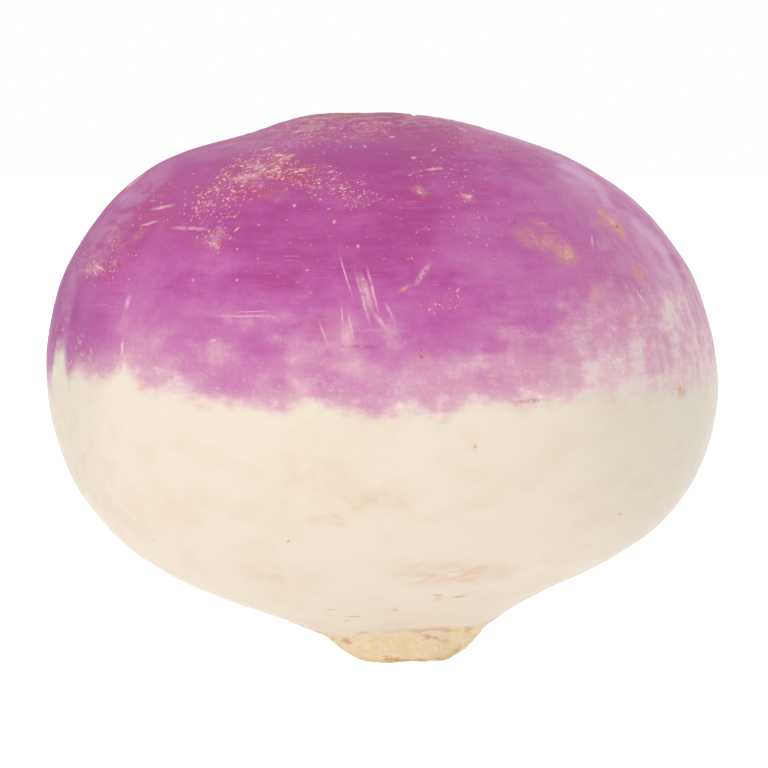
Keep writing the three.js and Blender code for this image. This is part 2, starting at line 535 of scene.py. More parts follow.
# Patches where the skin has turned to cork.
CORKY = (
    (22.4, 56.4, 3, 1.6, 38, 0.8),
    (24.4, 55, 1.8, 1, 40, 0.9),
    (19, 57.3, 2.8, 1.1, 20, 0.6),
    (20.3, 59.3, 0.9, 0.3, 5, 0.9),
    (28.6, 59.9, 1.4, 0.6, 50, 0.9),
    (30.2, 58.4, 1.7, 1, 50, 1.1),
    (27.2, 50.7, 0.7, 1.1, -27, 1),
    (33.4, 52.3, 0.8, 1.3, 0, 1),
    (32.2, 47.2, 0.6, 1, 0, 0.6),
    (4.5, 63.3, 0.8, 0.5, 0, 0.8),
    (4.8, 42.6, 1.3, 1.3, 0, 0.6),
    (-14, 63, 3, 0.6, 10, 0.3),
    (38.4, 37.6, 0.5, 0.8, 0, 0.9),
    (-31.8, 57.5, 1.4, 0.6, -20, 0.5),
    (-35.5, 58.8, 1.2, 1, 0, 0.4),
    (-34.8, 55.9, 1, 1.2, 0, 0.4),
)
# Soil left in the cream, and painted shade: the last three marks darken the flanks.
SOILED_AND_SHADED = (
    (-7, 21.3, 3, 0.9, 0, 0.9),
    (-2.4, 23.7, 4.6, 1.6, 6, 0.6),
    (1.5, 24.2, 3, 1.4, 0, 0.4),
    (-14.4, 13.4, 5.6, 1.7, 18, 0.6),
    (9.6, 14, 7.6, 2, -3, 1.2),
    (8.7, 10.5, 3.6, 0.5, -6, 0.9),
    (11.4, 31.8, 0.9, 1.6, 0, 0.7),
    (-9.5, 27, 7, 6, 0, 0.34),
    (31, 21, 9, 7, 20, 0.2),
    (-27.5, 22, 6, 4.5, 0, 0.25),
    (25.6, 17.3, 2, 1.2, 0, 0.3),
    (0, 8, 20, 3, 0, 0.15),
    # Painted shade: the flanks darkened where they turn from the light.
    (-42, 30, 6, 14, 0, 0.45),
    (-35, 21, 5, 5, 0, 0.3),
    (41, 27, 9, 13, 0, 0.2),
)
# Each painted layer's name on the mesh, with its marks and the seed of those behind.
LAYERS = (
    ("speckled", SPECKLED, 4),
    ("ruddy", RUDDY, 5),
    ("corky", CORKY, 6),
    ("soiled", SOILED_AND_SHADED, 7),
    ("chafed", CHAFED, 8),
    ("bloom", PAINTED_SHEEN, 9),
)
CLOUDS_SEED = 3
MARK_FADES = (0.1, 1.4)  # shares of a mark's half size over which it fades out
FRONT_START = (3.0, 12.0)  # mm in front of the middle where the front's marks come in
TURNS_BEHIND = (75, 285)  # degrees that the marks behind are scattered over


def turn_of(place):
    """The turn of a place about the turnip's middle, in degrees: 0 is the front."""
    return math.degrees(math.atan2(place.x, -place.y))


def along(table, turn):
    """A value read from a table of turns, eased between its steps and round the back."""
    before = (table[-1][0] - 360, table[-1][1])
    for after in (*table, (table[0][0] + 360, table[0][1])):
        if turn <= after[0]:
            break
        before = after
    return before[1] + (after[1] - before[1]) * smooth_step(turn, before[0], after[0])


def oval(across, up, mark):
    """How strong a mark is at a distance from its middle, fading out past its edge."""
    half_wide, half_high, turn, strength = mark[2:]
    cos, sin = math.cos(math.radians(turn)), math.sin(math.radians(turn))
    away = math.hypot((across * cos - up * sin) / half_wide, (across * sin + up * cos) / half_high)
    return strength * (1 - smooth_step(away, *MARK_FADES))


def strayed(place):
    """A place moved a little by noise, so that a mark painted there gets a ragged edge."""
    return place + stray(place, 4.2, 1.3) + stray(place, 1.5, 0.6)


def marks_behind(marks, seed):
    """Marks like those of the front, scattered over the sides and the back: turns for x."""
    rng = random.Random(seed)
    behind = []
    for x, z, half_wide, half_high, turn, strength in marks:
        size = rng.uniform(0.8, 1.3)
        spot = (rng.uniform(*TURNS_BEHIND), z + rng.uniform(-1.5, 1.5))
        behind.append((*spot, half_wide * size, half_high * size, -turn, strength))
    return behind


def at_height(place, marks):
    """The marks that reach the height of a place, and how far up it lies from their middle."""
    ups = [(mark, place.z - mark[1]) for mark in marks]
    return [(mark, up) for mark, up in ups if abs(up) < MARK_FADES[1] * max(mark[2:4])]


def painter(marks, seed):
    """A formula for how much of a layer's paint lies at a place."""
    behind = marks_behind(marks, seed)

    def paint(place):
        facing = smooth_step(-place.y, *FRONT_START)
        place = strayed(place)
        total = 0.0
        if facing > 0:
            total += facing * sum(oval(place.x - m[0], up, m) for m, up in at_height(place, marks))
        if facing < 1:
            degree = math.radians(1) * math.hypot(place.x, place.y)
            turn = turn_of(place)
            for m, up in at_height(place, behind):
                across = ((turn - m[0] + 180) % 360 - 180) * degree
                total += (1 - facing) * oval(across, up, m)
        return total

    return paint


def above_line(place):
    return place.z - along(LINE, turn_of(place))


def depth_of_purple(place):
    """How deep the purple is at a place over the line, before its fine mottling."""
    share = min(max(above_line(place) / CLIMB, 0.0), 1.0)
    # Below 0 the paleness deepens the purple: painted shade on the left flank.
    pale = along(PALENESS_AND_SHADE, turn_of(place))
    start = AT_LINE * max(1 - 1.8 * pale, 0)
    return start + (1 - AT_LINE) * share ** (0.75 + 0.4 * pale) * (1 - pale)


def keep_paint(root):
    """Paints the skin's layers on the finished root, for its material to read."""
    clouded = painter(CLOUDS, CLOUDS_SEED)
    keep_weights(root, "above_line", above_line)
    keep_weights(root, "purple", lambda place: depth_of_purple(place) + clouded(place))
    for name, marks, seed in LAYERS:
        keep_weights(root, name, painter(marks, seed))
    # Painted highlight along the tops of the folds, and painted shade beside them.
    keep_weights(root, "fold", fold)
    keep_weights(root, "fold_shade", lambda place: fold(place + FOLD_SHADE))
    keep_weights(root, "crown", crown)
    keep_weights(root, "heart", heart)


# ---- the root

CUT_LEVEL = 0.02  # mm, over the corners of the flat cut
CUT_INSIDE = 3.0  # mm out from the cut's middle, within its edge
CUT_CREASE = 0.8
RIPPLE_SHARE = 0.22  # height of the ripples, as a share of the swells'


def crease_cut(root):
    """Keeps the edge of the flat cut crisp when the faces are divided."""
    select_only(root)
    bpy.ops.object.mode_set(mode="EDIT")
    bpy.ops.mesh.select_all(action="DESELECT")
    bpy.ops.object.mode_set(mode="OBJECT")
    for edge in root.data.edges:
        ends = [root.data.vertices[i].co / MM for i in edge.vertices]
        level = all(end.z < CUT_LEVEL for end in ends)
        outer = all((end - CUT_MIDDLE).length > CUT_INSIDE for end in ends)
        edge.select = level and outer
    bpy.ops.object.mode_set(mode="EDIT")
    bpy.ops.mesh.select_mode(type="EDGE")
    bpy.ops.transform.edge_crease(value=CUT_CREASE)
    bpy.ops.object.mode_set(mode="OBJECT")


def settle_crown(root):
    """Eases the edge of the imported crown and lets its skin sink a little."""
    edge = weigh(root, "crown edge", crown_edge)
    apply_modifier(root, "SMOOTH", vertex_group=edge, factor=0.5, iterations=30)
    top = weigh(root, "crown top", crown_top)
    displace(root, top, -SETTLED * MM, direction="Z")


def swell_skin(root, height):
    """Makes the bulb's skin uneven, by slow swells with ripples on them."""
    skin = weigh(root, "skin", lambda place: smooth_step(place.z, *SKIN_START))
    displace(root, skin, height, clouds("swells", 24))
    displace(root, skin, height * RIPPLE_SHARE, clouds("ripples", 6.5))


def scar_crown(root, shape):
    """Sinks the leaf scars, and lifts their lips and the bud."""
    pit, lip = scar_weights(shape.leaf_scars)
    keep_weights(root, "leaf_scar", pit)
    keep_weights(root, "scar_lip", lip)
    keep_weights(root, "bud", bud)
    forms = (
        (weigh(root, "pits", pit), -shape.scar_depth),
        (weigh(root, "lips", lip), shape.scar_depth * LIP_HEIGHT),
        (weigh(root, "bud top", bud), BUD_HEIGHT * MM),
    )
    for group, height in forms:
        displace(root, group, height, direction="Z")


def crease_skin(root, shape):
    """Lifts the rings of dry skin round the crown, and the folds of the shoulder."""
    displace(root, weigh(root, "wrinkles", wrinkle), shape.wrinkles)
    keep_weights(root, "wrinkle", wrinkle)
    displace(root, weigh(root, "folds", fold), shape.folds)


def tear_cut(root, depth):
    """Roughens the cut root, by chips with a torn grain on them."""
    cut = weigh(root, "cut", near_cut)
    displace(root, cut, depth * 0.9, clouds("chips", 2.6, depth=3, hard=True))
    displace(root, cut, depth, clouds("grain", 0.9, depth=3))


def shape_root(root, shape):
    crease_cut(root)
    apply_modifier(root, "SUBSURF", levels=shape.refine, render_levels=shape.refine)
    settle_crown(root)
    swell_skin(root, shape.unevenness)
    scar_crown(root, shape)
    crease_skin(root, shape)
    tear_cut(root, shape.tool_marks)
    root.vertex_groups.clear()
    keep_paint(root)
    select_only(root)
    bpy.ops.object.shade_smooth()


# ---- shader helpers

# A Mix node's sockets for colours, by number, because its others have the same names.
MIX_SHARE, MIX_UNDER, MIX_OVER, MIX_RESULT = 0, 6, 7, 2
FAINTEST_PORE = 0.3
# The spans over which a pore and the ring about it come in, in mm inward from its edge.
PORE_START, RING_START = (-0.12, 0.1), (-0.4, 0.02)


def sign(operation, turned=False):
    """What one of Python's signs does to a wire: it adds a Math node."""

    def work(wire, other):
        first, second = (other, wire) if turned else (wire, other)
        return wire.nodes.add("ShaderNodeMath", {"operation": operation}, {0: first, 1: second})

    return work


class Wire:
    """An output socket that Python's signs work on. A turned sign has a number before it."""

    __add__, __radd__ = sign("ADD"), sign("ADD", turned=True)
    __sub__, __rsub__ = sign("SUBTRACT"), sign("SUBTRACT", turned=True)
    __mul__, __rmul__ = sign("MULTIPLY"), sign("MULTIPLY", turned=True)
    __or__ = sign("MAXIMUM")

    def __init__(self, nodes, socket):
        self.nodes = nodes
        self.socket = socket

    def output(self, name):
        """Another output of the same node."""
        return Wire(self.nodes, self.socket.node.outputs[name])

    def step(self, low, high):
        """0 at low, 1 at high, and smooth between them."""
        inputs = {"Value": self, "From Min": low, "From Max": high}
        settings = {"interpolation_type": "SMOOTHSTEP"}
        return self.nodes.add("ShaderNodeMapRange", settings, inputs)


class Nodes:
    """The node tree of one material, which may use the user's colours by their names."""

    def __init__(self, name, colours=None):
        self.colours = colours
        self.material = bpy.data.materials.new(name)
        self.material.use_nodes = True
        self.tree = self.material.node_tree
        self.tree.nodes.clear()

    def add(self, kind, settings, inputs, output=0):
        """Adds a node, sets it, then gives its inputs values or wires."""
        node = self.tree.nodes.new(kind)
        for name, value in settings.items():
            if name == "stops":
                self.set_stops(node.color_ramp.elements, value)
            else:
                setattr(node, name, value)
        for name, value in inputs.items():
            if isinstance(value, Wire):
                self.tree.links.new(value.socket, node.inputs[name])
            else:
                node.inputs[name].default_value = value
        return Wire(self, node.outputs[output]) if node.outputs else None

    def set_stops(self, elements, stops):
        while len(elements) < len(stops):
            elements.new(1.0)
        for element, (position, shade) in zip(elements, stops):
            element.position = position
            element.color = (*shade, 1.0)

    def vector(self, operation, *operands):
        inputs = dict(enumerate(operands))
        return self.add("ShaderNodeVectorMath", {"operation": operation}, inputs)

    def attribute(self, name):
        """A number that was kept on the mesh under a name."""
        return self.add("ShaderNodeAttribute", {"attribute_name": name}, {}, "Fac")

    def mix(self, share, under, over):
        """The colour over laid on the colour under. Each is a wire or a colour's name."""
        inputs = {MIX_SHARE: share, MIX_UNDER: under, MIX_OVER: over}
        for socket in (MIX_UNDER, MIX_OVER):
            if isinstance(inputs[socket], str):
                inputs[socket] = (*getattr(self.colours, inputs[socket]), 1.0)
        return self.add("ShaderNodeMix", {"data_type": "RGBA"}, inputs, MIX_RESULT)

    def scaled(self, place, size, stretch):
        return self.vector("MULTIPLY", place, tuple(share / size for share in stretch))

    def pores(self, place, apart, least, more, share, ragged):
        """Pores in a share of the cells of a scatter, in mm, and the rings about them."""
        inputs = {"Vector": self.scaled(place, apart, (1, 1, 1)), "Scale": 1.0}
        scatter = self.add("ShaderNodeTexVoronoi", {}, inputs, "Distance")
        own = self.add("ShaderNodeSeparateColor", {}, {0: scatter.output("Color")}, "Red")
        present = (share - own).step(0.0, 0.02)
        present = present * (own.output("Blue") * (1 - FAINTEST_PORE) + FAINTEST_PORE)
        spare = own.output("Green") * more + least - scatter * apart + ragged
        return spare.step(*PORE_START) * present, spare.step(*RING_START) * present

    def turned(self, place, middle, lean, size):
        """A place seen from a middle, along axes that lean clockwise and have a size."""
        turn = (0, math.radians(lean), 0)
        inputs = {"Vector": place, "Location": middle, "Rotation": turn, "Scale": size}
        return self.add("ShaderNodeMapping", {"vector_type": "TEXTURE"}, inputs)

    def patch(self, place, mark, soft):
        """1 inside an oval mark on the front, fading to 0 at its edge."""
        x, z, half_wide, half_high, lean = mark
        local = self.turned(place, (x, 0, z), lean, (half_wide, 1, half_high))
        settings = {"gradient_type": "SPHERICAL"}
        inside = self.add("ShaderNodeTexGradient", settings, {"Vector": local}, "Fac")
        return inside.step(0.0, soft)

    def patches(self, place, marks, soft):
        """1 inside any of the marks."""
        found = self.patch(place, marks[0], soft)
        for mark in marks[1:]:
            found = found | self.patch(place, mark, soft)
        return found


# ---- the skin's material

# Fine strokes on the front, in a table for each kind: x, z, half its width and half its
# length, in mm, and how far it leans clockwise from upright, in degrees.
# Pale scrapes.
SCRAPES = (
    (-4.9, 53, 0.18, 4, -17),
    (-2.7, 50.1, 0.38, 4.6, -16),
    (-2.2, 50.7, 0.75, 3.4, -17),
    (-1.4, 51, 0.32, 4, -14),
    (-0.3, 46.9, 0.4, 2.4, -38),
    (-4.2, 46.4, 0.36, 2.6, -11),
    (-5.3, 47.9, 0.2, 2, -6),
    (-7.6, 45.4, 0.22, 2.5, -20),
    (0.8, 48.2, 0.3, 1.9, -25),
    (-3.4, 41.4, 0.22, 1.1, -36),
    (-4.7, 45.2, 1.1, 2.4, -8),
    (-33.2, 49, 0.4, 1.5, 14),
    (4.9, 53.1, 0.6, 2.4, 35),
    (26.9, 56.8, 0.2, 1.3, 0),
    (9.4, 51, 0.22, 0.6, 30),
    (-25.1, 58.5, 0.4, 3.2, 90),
    (-16.6, 48.2, 0.12, 3.4, 88),
    (-17.8, 47.6, 0.16, 5.6, 89),
    (-30.5, 59, 0.2, 1.8, 76),
    (13.8, 40.2, 0.16, 1.2, 89),
)
# Tan marks of healed skin.
TANNED = (
    (2.7, 51.3, 0.4, 1.3, 63),
    (-7.7, 42, 0.26, 1.2, 52),
    (-34, 40.7, 0.22, 0.7, 27),
    (-39.5, 41.9, 0.22, 0.6, -31),
    (-38.2, 42.3, 0.22, 0.9, -10),
    (28.5, 60.2, 0.4, 1.5, -55),
    (29.9, 59.1, 0.7, 2.1, -43),
    (30.8, 58, 0.4, 1.6, -41),
    (33.4, 52.3, 0.4, 0.9, -7),
    (27.2, 50.7, 0.22, 0.7, -29),
    (20.4, 59.3, 0.22, 0.9, -81),
    (11.6, 31.3, 0.3, 0.5, 0),
    (30.6, 21.5, 0.34, 0.3, 0),
)
# Pale flecks.
FLECKS = (
    (-28.9, 61.1, 0.32, 2.3, 79),
    (-33.9, 43, 0.3, 1.8, 4),
    (33.1, 49.7, 0.22, 1.5, -30),
    (32.3, 47, 0.36, 0.9, 5),
    (-18.9, 58.5, 0.18, 0.7, 49),
    (-15.4, 68.7, 0.2, 1.1, 78),
    (-13.5, 67.9, 0.3, 1.1, -84),
    (-12.1, 67.8, 0.2, 0.9, 72),
    (-10.7, 66, 0.24, 1.1, 73),
    (-6.8, 65.9, 0.18, 0.8, 70),
    (-21.8, 44.5, 0.22, 0.6, 75),
    (-37.2, 53.1, 0.22, 0.9, -65),
    (-37.9, 52.5, 0.18, 0.6, -23),
    (29.8, 59.1, 0.2, 1.2, -45),
    (-11.4, 70.9, 0.2, 2, 73),
    (-2.8, 72, 0.2, 0.9, 86),
    (0.5, 72, 0.2, 1.3, -84),
    (2.8, 72.1, 0.2, 0.7, 85),
    (10.3, 71.2, 0.2, 1.1, -68),
    (-4.3, 69, 0.2, 0.3, -28),
    (-2.5, 69.1, 0.2, 0.4, -32),
    (1, 70.2, 0.16, 0.6, -90),
    (3.8, 67.6, 0.22, 0.6, -84),
    (6.5, 68.6, 0.16, 0.7, 47),
    (10.9, 62.8, 0.34, 0.6, 81),
    (4.5, 63.3, 0.26, 0.5, -60),
    (6.5, 66.2, 0.22, 1.8, 88),
    (-11.5, 61.6, 0.3, 0.38, 80),
    (-6.3, 59.6, 0.34, 0.34, 0),
    (-3.3, 56.5, 0.34, 0.34, 0),
    (-24.5, 52, 0.24, 0.24, 0),
    (-18.8, 52.1, 0.24, 0.3, 60),
)
# Small dark spots.
SPOTS = (
    (4.7, 42.7, 0.3, 0.3, 0),
    (4.7, 43.5, 0.18, 0.18, 0),
    (-34.5, 53.6, 0.34, 0.4, 0),
    (-34.8, 55.9, 0.18, 0.3, 30),
    (-31.8, 57.5, 0.24, 0.24, 0),
    (16.8, 59.5, 0.26, 0.26, 0),
    (30.4, 58.6, 0.2, 0.5, -50),
    (-12.3, 18.5, 0.14, 0.4, 43),
    (-30.1, 17.4, 0.16, 0.16, 0),
)
# Soil caught in the creases over the cut.
SOIL_DASHES = (
    (7, 10.7, 0.24, 1.2, 92),
    (9.9, 10.4, 0.26, 1.6, 83),
    (-7, 8.5, 0.16, 0.8, 88),
    (1.4, 8.5, 0.2, 0.8, 84),
    (-3.9, 7.4, 0.16, 1.6, 89),
    (-4.9, 6.7, 0.2, 0.6, 88),
    (38.4, 37.6, 0.4, 0.7, 0),
)
# Reddish streaks near the line.
RED_DASHES = (
    (18.6, 37, 0.36, 3.2, 88),
    (-3, 43.9, 0.5, 3.6, 92),
    (-11, 46.6, 0.5, 1.4, 80),
)

# Where a look of the material comes in, from none of it at the first place to all of it at
# the second. The first five are x, in mm.
BLURRED_RIGHT = (14.0, 42.0)
BLURRED_LEFT = (-14.0, -42.0)
# The next three place painted shade: on the left flank of the purple, and on both flanks of the
# cream.
SHADE_VIOLET_LEFT = (-32.5, -42.0)
SHADED_CREAM_RIGHT = (20.0, 42.0)
SHADED_CREAM_LEFT = (-33.0, -44.0)
CUT_BELOW = (5.5, 3.1)  # mm over the ground
FACE_BELOW = (1.0, 0.1)  # mm over the ground
CRUMBS_BELOW = (9.0, 2.0)  # mm over the line
STROKES_OFF_MIDDLE = (2.0, 9.0)  # mm in front of the middle, or behind it
STROKES_LIFTED_BEHIND = 3.0  # mm
DASH_LEAN = -22  # degrees
DASH_SIZE = (1.7, 1.3, 0.8)  # against a round pore's
RELIEF_DEPTH = 0.2 * MM
# How deep the purple is where it takes each shade.
DEPTHS = {"petal": 0, "blush": 0.11, "pink": 0.27, "mauve": 0.53, "rose": 0.78, "magenta": 1}


class TurnipSkin(Nodes):
    """The root's material. Its colour is laid on in layers, from the ground colours up."""

    def __init__(self, colours):
        super().__init__("turnip skin", colours)
        metres = self.add("ShaderNodeTexCoord", {}, {}, "Object")
        self.place = self.vector("MULTIPLY", metres, (1 / MM,) * 3)
        self.x = self.add("ShaderNodeSeparateXYZ", {}, {0: self.place}, "X")
        self.y, self.z = self.x.output("Y"), self.x.output("Z")
        self.cloud = self.noise(5.0, 2.6, 0.5, (0.8, 0.8, 1.2)) - 0.5
        self.mottle = self.noise(1.5, 4.0, 0.55, (0.7, 0.7, 1.1))
        self.fine = self.noise(0.42, 3.0, 0.6)
        self.streak = self.noise(1.5, 3.0, 0.55, (0.13, 0.13, 1.0)) - 0.5
        self.hair = self.noise(0.5, 2.0, 0.5, (0.09, 0.09, 1.3))
        self.strand = self.noise(1.5, 3.0, 0.5, (1.0, 1.0, 0.22)) - 0.5
        self.lay_ground()
        self.lay_wear()
        self.lay_pores()
        self.lay_marks()
        self.lay_crown()
        self.lay_cut()
        self.add_surface()

    def lay(self, share, over):
        """Lays a colour over all that was laid before."""
        self.base = self.mix(share, self.base, over)

    def noise(self, size, detail, rough, stretch=(1, 1, 1)):
        """Cloudy noise from 0 to 1, in lumps about as wide as size, in mm."""
        place = self.scaled(self.place, size, stretch)
        inputs = {"Vector": place, "Scale": 1.0, "Detail": detail, "Roughness": rough}
        return self.add("ShaderNodeTexNoise", {}, inputs, "Fac")

    def purple_ground(self):
        """The purple from the line up, deeper the higher it is."""
        line = self.attribute("above_line")
        self.above = line + self.cloud * 1.2 + (self.mottle - 0.5) * 2.6
        blurred = self.x.step(*BLURRED_RIGHT) * 1.3 + self.x.step(*BLURRED_LEFT) * 0.3
        self.edge = self.above.step(-1.3 - blurred, 1.7 + blurred)
        self.purple = self.attribute("purple")
        grain = (self.mottle - 0.5) * 0.64 + (self.fine - 0.5) * 0.34
        grain = (self.cloud * 0.5 + grain) * (1.35 - self.purple * 0.8 - blurred * 0.3)
        self.depth = self.purple + grain + self.streak * self.purple * 0.42
        self.depth = self.depth + self.strand * blurred * 0.34
        stops = [(depth, getattr(self.colours, shade)) for shade, depth in DEPTHS.items()]
        ramp = self.add("ShaderNodeValToRGB", {"stops": stops}, {"Fac": self.depth * 0.96})
        # Painted shade: the left flank of the purple darkened to a deeper violet.
        flank = (self.x + (self.mottle - 0.5) * 4.0).step(*SHADE_VIOLET_LEFT)
        return self.mix(flank * 0.36, ramp, "dusk")

    def cream_ground(self):
        """The cream below the line: warm clouds, soil, grit, and painted shade on its flanks."""
        peachy = (self.cloud + self.mottle * 0.1).step(0.0, 0.24)
        cream = self.mix(peachy * 0.34, "cream", "peach")
        # Painted shade: both flanks of the cream greyed.
        flanks = self.x.step(*SHADED_CREAM_RIGHT) | self.x.step(*SHADED_CREAM_LEFT)
        cream = self.mix(flanks * 0.3, cream, "grey_cream")
        # One painted layer holds the soil stains and the painted shade on the flanks.
        soiled = self.attribute("soiled")
        cream = self.mix(soiled * self.mottle.step(0.26, 0.72) * 0.58, cream, "soil")
        grit = (self.fine + self.mottle * 0.2).step(0.78, 0.88) * soiled
        return self.mix(grit * 0.3, cream, "brown")

    def lay_ground(self):
        """The purple over the cream, with peach crumbs in it just above the line."""
        purple = self.purple_ground()
        self.base = self.mix(self.edge, self.cream_ground(), purple)
        crumbs = (self.fine * 0.7 + self.mottle).step(0.86, 1.04)
        self.lay(crumbs * self.above.step(*CRUMBS_BELOW) * self.edge * 0.38, "peach")

    def lay_wear(self):
        """Reddish ground, painted sheen, painted shade and highlight at the folds, rubbed skin,
        fine level rubs.
        """
        ruddy = self.attribute("ruddy") * self.mottle.step(0.34, 0.6)
        self.lay(ruddy * self.edge * 0.65, "ruddy")
        # Painted sheen on the shoulders, read from its painted layer.
        film = self.attribute("bloom") * (self.mottle + self.streak).step(0.2, 0.62)
        self.lay(film * self.edge * 0.6, "bloom")
        # Painted shade beside each fold, in rose, and a painted highlight along its top.
        shade = self.attribute("fold_shade") * self.mottle.step(0.3, 0.55)
        self.lay(shade * 0.45, "rose")
        self.lay(self.attribute("fold") * 0.62, "bloom")
        chafed = self.attribute("chafed") * (self.mottle + self.fine * 0.5).step(0.56, 0.9)
        self.lay(chafed * self.edge * 0.85, "chafed")
        rubs = self.hair.step(0.58, 0.74) * (self.cloud + self.mottle).step(0.46, 0.7)
        self.lay(rubs * self.edge * 0.22, "scrape")

    def lay_pores(self):
        """Pale pores in a reddish ring, thickest in the speckled places."""
        self.speckled = self.attribute("speckled")
        shift = self.mottle.output("Color")
        self.jitter = self.vector("MULTIPLY_ADD", shift, (0.8,) * 3, (-0.4,) * 3)
        loose = self.vector("ADD", self.place, self.jitter)
        slanted = self.turned(loose, (0, 0, 0), DASH_LEAN, DASH_SIZE)
        thick = self.speckled * (self.mottle * 3.0 - 0.5)
        ragged = (self.fine - 0.5) * 0.34
        self.pits, rings = self.pores(loose, 2.4, 0.05, 0.15, 0.2 + thick * 0.45, ragged)
        dots, small = self.pores(loose, 0.52, 0.06, 0.1, 0.01 + thick, ragged)
        dashes, _ = self.pores(slanted, 0.6, 0.02, 0.16, thick * 0.6 - 0.04, ragged)
        rings = (rings | small) * self.depth.step(0.35, 0.7) * self.edge
        self.lay(rings * 0.5, "ruddy")
        flaky = (self.fine + self.mottle * 0.5).step(0.78, 0.98) * self.speckled * self.edge
        self.lay(flaky * 0.3, "chafed")
        pale = (self.pits | dots | dashes) * self.edge * (self.speckled * 0.4 + 0.55)
        self.lay(pale, "speck")

    def lay_marks(self):
        """Corky patches, scrapes and spots. Behind, the strokes are mirrored and lie higher."""
        self.corky = self.attribute("corky") * (self.fine * 0.6 + self.mottle).step(0.56, 0.9)
        self.lay(self.corky * 0.85, "tan")
        crust = self.attribute("corky") * self.fine.step(0.6, 0.68)
        self.lay(crust * 0.6, "speck")
        behind = self.y.step(-0.01, 0.01)
        wide = self.x * (1.0 - 2.0 * behind)
        high = self.z + behind * STROKES_LIFTED_BEHIND
        flat = self.add("ShaderNodeCombineXYZ", {}, {"X": wide, "Z": high})
        flat = self.vector("MULTIPLY_ADD", self.jitter, (0.5,) * 3, flat)
        out = self.add("ShaderNodeMath", {"operation": "ABSOLUTE"}, {0: self.y})
        facing = out.step(*STROKES_OFF_MIDDLE)
        scrapes = self.patches(flat, SCRAPES, 0.9) * (self.fine + self.mottle).step(0.7, 1.08)
        self.lay(scrapes * facing * 0.92, "scrape")
        for marks, soft, grain, share, shade in (
            (TANNED, 0.9, (0.3, 0.55), 0.85, "tan"),
            (FLECKS, 1.0, (0.3, 0.5), 0.8, "speck"),
            (RED_DASHES, 0.9, (0.35, 0.55), 0.55, "ruddy"),
        ):
            strokes = self.patches(flat, marks, soft) * self.fine.step(*grain)
            self.lay(strokes * facing * share, shade)
        self.lay(self.patches(flat, SOIL_DASHES, 0.9) * facing * 0.7, "cut_grain")
        self.lay(self.patches(flat, SPOTS, 0.8) * facing * 0.75, "brown")

    def lay_crown(self):
        """The crown's dry skin and its rings, the woody middle, the leaf scars and the bud."""
        self.scar = self.attribute("leaf_scar")
        lip = self.attribute("scar_lip")
        dry = self.attribute("crown")
        self.lay(dry * (self.mottle + self.streak).step(0.25, 0.6) * 0.5, "crown")
        rings = self.attribute("wrinkle") * (self.mottle + self.fine).step(0.8, 1.15)
        self.lay(rings * 0.22, "chafed")
        flakes = (self.fine + self.mottle * 0.7 + dry * 0.05).step(0.9, 1.05) * dry
        self.lay(flakes * 0.22, "speck")
        heart = self.attribute("heart")
        woody = (heart + (self.mottle - 0.5) * 1.6).step(0.1, 0.7) * heart.step(0.0, 0.1)
        self.lay(woody * 0.4, "corky_crown")
        self.lay(lip * 0.5, "stalk_rim")
        threads = (self.fine + self.mottle * 0.4).step(0.74, 0.86)
        stalk = self.mix(threads * 0.6, "stalk", "fibre")
        stalk = self.mix(self.mottle.step(0.45, 0.65) * 0.4, stalk, "tan")
        self.lay(self.scar * (self.mottle * 0.7 + 0.4), stalk)
        self.lay(self.attribute("bud") * 0.7, "fibre")

    def lay_cut(self):
        """The flesh of the cut root, browned along its upper edge and on its flat face."""
        ragged = self.z + self.cloud * 3.0 + (self.mottle - 0.5) * 2.4 - self.x * 0.06
        self.cut = ragged.step(*CUT_BELOW)
        flesh = self.mix(self.mottle.step(0.4, 0.6), "cut", "cut_pale")
        grains = (self.mottle + self.streak * 0.6 + self.fine * 0.3).step(0.74, 0.9)
        flesh = self.mix(grains * 0.75, flesh, "cut_grain")
        stains = (self.mottle + self.cloud * 0.7).step(0.56, 0.74)
        self.lay(self.cut, self.mix(stains * 0.45, flesh, "cut_grain"))
        rim = self.cut * (1.0 - self.cut) * 4.0
        self.lay(rim * (self.mottle + self.streak).step(0.45, 0.7) * 0.6, "cut_grain")
        self.lay(self.z.step(*FACE_BELOW) * (self.mottle * 0.9), "cut_grain")

    def add_surface(self):
        rough = 0.4 + self.mottle * 0.12 + self.cut * 0.35 + self.scar * 0.25
        rough = rough + (self.pits | self.corky) * 0.2
        relief = self.mottle * 0.35 + self.streak * 0.4
        grain = self.purple * 0.2 + self.speckled * 0.5 + self.cut * 1.2 + 0.08
        relief = relief + self.fine * grain
        height = {"Strength": 0.5, "Distance": RELIEF_DEPTH, "Height": relief}
        inputs = {
            "Base Color": self.base,
            "Roughness": rough,
            "Normal": self.add("ShaderNodeBump", {}, height),
            "IOR": 1.45,
            "Specular IOR Level": 0.14,
            "Coat Weight": 0.03,
            "Coat Roughness": 0.3,
        }
        surface = self.add("ShaderNodeBsdfPrincipled", {}, inputs)
        self.add("ShaderNodeOutputMaterial", {}, {"Surface": surface})


class TURNIP_OT_root(bpy.types.Operator):
    """Model the turnip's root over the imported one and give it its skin"""

    bl_idname = "turnip.add_root"
    bl_label = "Turnip root"

    def execute(self, context):
        noise.seed_set(STRAY_SEED)
        root = copy_of_node("turnip_root", "turnip")
        shape_root(root, context.scene.turnip_shape)
        root.data.materials.clear()
        root.data.materials.append(TurnipSkin(context.scene.turnip_colours).material)
        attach(root, "root")
        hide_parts("turnip_root")
        return {"FINISHED"}


# ---- the stage

FLOOR_SIZE = 9000  # mm
FLOOR_SHADE = (0.4, 0.4, 0.4, 1.0)
WHITE = (1.0, 1.0, 1.0, 1.0)
